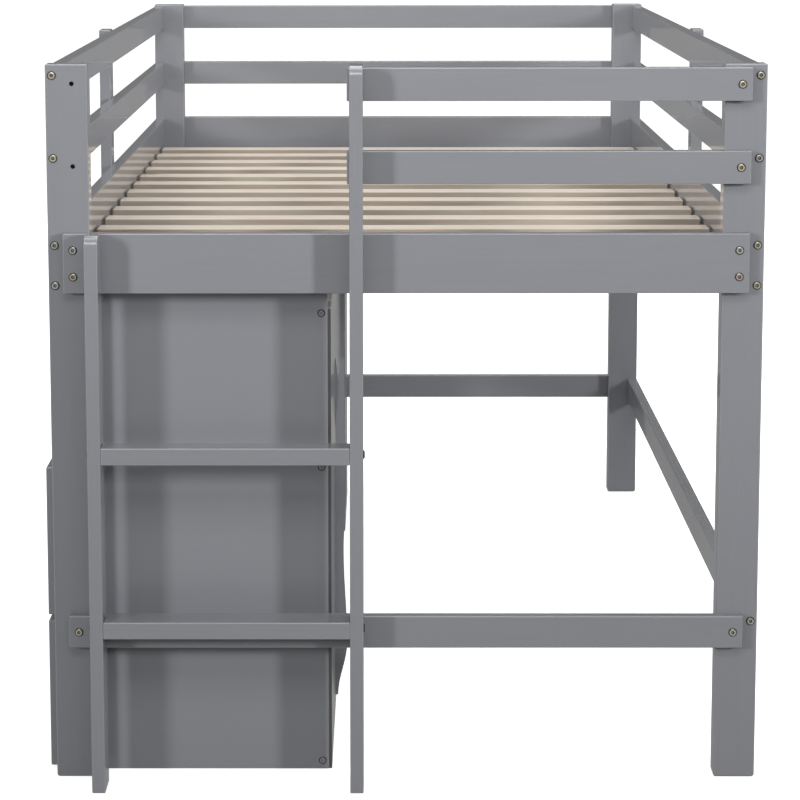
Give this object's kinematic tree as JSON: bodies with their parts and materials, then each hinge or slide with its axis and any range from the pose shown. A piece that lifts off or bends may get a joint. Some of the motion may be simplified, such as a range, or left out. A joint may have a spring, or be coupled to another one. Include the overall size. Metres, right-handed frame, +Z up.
{
  "type": "loft bed with desk",
  "caption": "Low grey loft bed with an end ladder, guard rails and pine slats over a drawer chest, a bookcase and a roll-out desk on casters.",
  "frame": {"origin": "bottom centre of the box round the whole part, on the floor", "axes": "+Z up, +Y along the bed away from the ladder end, +X across the bed away from the open long side"},
  "size_m": [1.112, 2.1006, 1.086],
  "materials": {
    "grey_paint": "semi-gloss grey paint on wood",
    "pine": "bare pale pine",
    "yellow_zinc": "yellow zinc plate",
    "steel": "bright zinc plate",
    "caster_tyre": "dark grey tyre"
  },
  "bodies": {
    "bed": {"post_front_left": "grey_paint", "post_front_right": "grey_paint", "post_back_left": "grey_paint", "post_back_right": "grey_paint", "bed_rail_front": "grey_paint", "bed_rail_back": "grey_paint", "bed_rail_left": "grey_paint", "bed_rail_right": "grey_paint", "guard_front_upper": "grey_paint", "guard_front_lower": "grey_paint", "guard_back_upper": "grey_paint", "guard_back_lower": "grey_paint", "guard_left_upper": "grey_paint", "guard_left_lower": "grey_paint", "guard_right_upper": "grey_paint", "guard_right_lower": "grey_paint", "guard_supports": "grey_paint", "stretcher_front": "grey_paint", "stretcher_back": "grey_paint", "stretcher_right": "grey_paint", "slat_ledgers": "grey_paint", "slats": "pine", "wood_screws": "yellow_zinc", "rail_bolts": "yellow_zinc", "corner_bolts": "yellow_zinc", "frame_nuts": "yellow_zinc", "stringer_left": "grey_paint", "stringer_right": "grey_paint", "tread_upper": "grey_paint", "tread_lower": "grey_paint", "ladder_bolts": "yellow_zinc", "chest_end_near": "grey_paint", "chest_end_far": "grey_paint", "chest_top": "grey_paint", "chest_shelf": "grey_paint", "chest_bottom": "grey_paint", "unit_backs": "grey_paint", "chest_runners": "steel", "unit_screws": "yellow_zinc", "bookcase_ends": "grey_paint", "bookcase_shelves": "grey_paint"},
    "drawer_upper": {"drawer_upper_front": "grey_paint", "drawer_upper_box": "pine", "drawer_upper_slides": "steel", "drawer_upper_knob": "grey_paint"},
    "drawer_lower": {"drawer_lower_front": "grey_paint", "drawer_lower_box": "pine", "drawer_lower_slides": "steel", "drawer_lower_knob": "grey_paint"},
    "desk": {"desk_end_near": "grey_paint", "desk_end_far": "grey_paint", "desk_top": "grey_paint", "desk_back": "grey_paint", "desk_shelf": "grey_paint", "desk_screws": "yellow_zinc", "caster_brackets": "steel"},
    "wheel_near_left": {"wheel_near_left": "caster_tyre"},
    "wheel_near_right": {"wheel_near_right": "caster_tyre"},
    "wheel_far_left": {"wheel_far_left": "caster_tyre"},
    "wheel_far_right": {"wheel_far_right": "caster_tyre"}
  },
  "joints": [
    {"name": "drawer_upper_slide", "type": "slide", "parent": "bed", "child": "drawer_upper", "axis": [-1, 0, 0], "range_m": [0, 0.28]},
    {"name": "drawer_lower_slide", "type": "slide", "parent": "bed", "child": "drawer_lower", "axis": [-1, 0, 0], "range_m": [0, 0.28]},
    {"name": "desk_roll", "type": "slide", "parent": "bed", "child": "desk", "axis": [-1, 0, 0], "range_m": [0, 0.45]},
    {"name": "wheel_near_left_spin", "type": "hinge", "parent": "desk", "child": "wheel_near_left", "pos_m": [-0.394, -0.50225, 0.022], "axis": [0, 1, 0], "continuous": true},
    {"name": "wheel_near_right_spin", "type": "hinge", "parent": "desk", "child": "wheel_near_right", "pos_m": [-0.206, -0.50225, 0.022], "axis": [0, 1, 0], "continuous": true},
    {"name": "wheel_far_left_spin", "type": "hinge", "parent": "desk", "child": "wheel_far_left", "pos_m": [-0.394, 0.54575, 0.022], "axis": [0, 1, 0], "continuous": true},
    {"name": "wheel_far_right_spin", "type": "hinge", "parent": "desk", "child": "wheel_far_right", "pos_m": [-0.206, 0.54575, 0.022], "axis": [0, 1, 0], "continuous": true}
  ]
}
